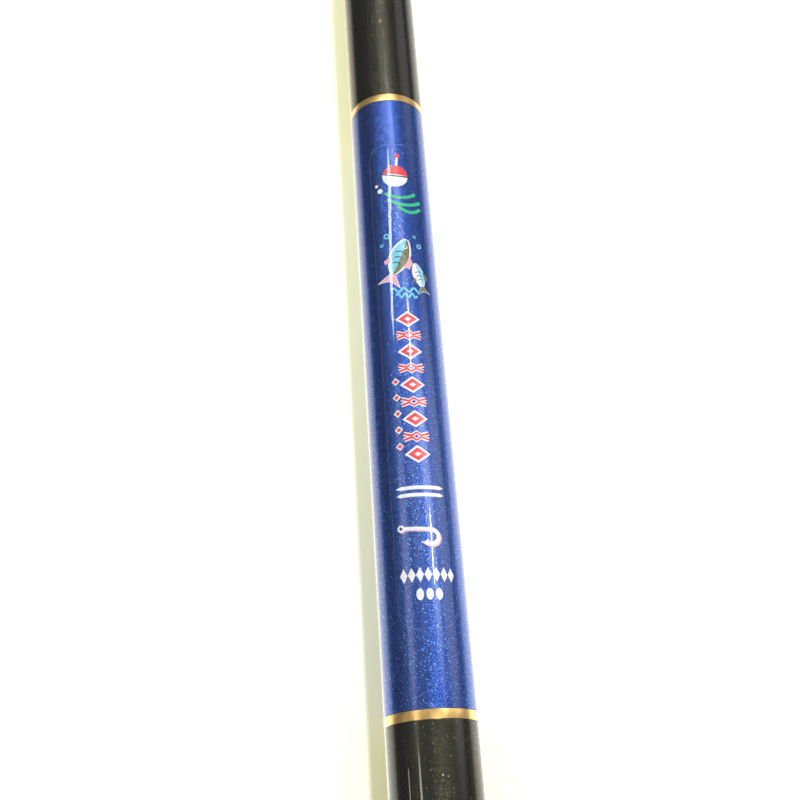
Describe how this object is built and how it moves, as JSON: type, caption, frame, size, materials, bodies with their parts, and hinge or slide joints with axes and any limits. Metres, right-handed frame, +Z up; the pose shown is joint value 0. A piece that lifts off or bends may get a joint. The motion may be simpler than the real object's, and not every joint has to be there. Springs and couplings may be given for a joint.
{
  "type": "telescopic fishing pole",
  "caption": "Closed telescopic hand pole: nested tapered carbon tubes, gold-banded blue label length, non-slip sleeve, screw butt cap and stopper plug.",
  "frame": {"origin": "on the table plane, under the middle of the closed pole's length", "axes": "+Y along the pole from the butt cap to the plug, +Z up from the table, +X to the right of someone looking along +Y"},
  "size_m": [0.0262, 0.6618, 0.0262],
  "materials": {
    "olive_lacquer": "clear-coated near-black olive lacquer on carbon cloth",
    "blue_flake": "clear-coated blue metal-flake film",
    "gold": "polished gold foil and gold-plated metal",
    "rubber": "matt black rubber",
    "aluminium": "turned aluminium",
    "tip_white": "pale lacquer",
    "braid": "tight red braid",
    "black_plastic": "satin black moulding"
  },
  "bodies": {
    "butt": {"butt_tube": "olive_lacquer", "rear_gold_band": "gold", "label_wrap": "blue_flake", "front_gold_band": "gold", "grip_sleeve": "rubber", "mouth_hoop": "gold", "thread_bush": "aluminium"},
    "cap_ring": {"cap_seal": "rubber"},
    "cap": {"butt_cap": "aluminium", "cap_buffer": "rubber"},
    "second": {"section_2": "olive_lacquer"},
    "third": {"section_3": "olive_lacquer"},
    "fourth": {"section_4": "olive_lacquer"},
    "fifth": {"section_5": "olive_lacquer"},
    "sixth": {"section_6": "olive_lacquer"},
    "seventh": {"section_7": "olive_lacquer"},
    "tip": {"tip_tube": "olive_lacquer", "solid_tip": "tip_white", "tip_ferrule": "aluminium", "line_braid": "braid"},
    "plug": {"plug_head": "black_plastic", "plug_stopper": "rubber"}
  },
  "joints": [
    {"name": "cap_back", "type": "slide", "parent": "butt", "child": "cap_ring", "axis": [0, -1, 0], "range_m": [0, 0.0075]},
    {"name": "cap_turn", "type": "hinge", "parent": "cap_ring", "child": "cap", "pos_m": [0, -0.3239, 0.01311], "axis": [0, -1, 0], "range_deg": [0, 1800]},
    {"name": "draw_2", "type": "slide", "parent": "butt", "child": "second", "axis": [0, 1, 0], "range_m": [0, 0.5825]},
    {"name": "draw_3", "type": "slide", "parent": "second", "child": "third", "axis": [0, 1, 0], "range_m": [0, 0.5549]},
    {"name": "draw_4", "type": "slide", "parent": "third", "child": "fourth", "axis": [0, 1, 0], "range_m": [0, 0.5519]},
    {"name": "draw_5", "type": "slide", "parent": "fourth", "child": "fifth", "axis": [0, 1, 0], "range_m": [0, 0.5489]},
    {"name": "draw_6", "type": "slide", "parent": "fifth", "child": "sixth", "axis": [0, 1, 0], "range_m": [0, 0.5459]},
    {"name": "draw_7", "type": "slide", "parent": "sixth", "child": "seventh", "axis": [0, 1, 0], "range_m": [0, 0.5429]},
    {"name": "draw_tip", "type": "slide", "parent": "seventh", "child": "tip", "axis": [0, 1, 0], "range_m": [0, 0.5399]},
    {"name": "pull_plug", "type": "slide", "parent": "tip", "child": "plug", "axis": [0, 1, 0], "range_m": [0, 0.1]}
  ],
  "couplings": [
    {"joint": "cap_back", "follows": "cap_turn", "m_per_rad": 0.00023873}
  ]
}
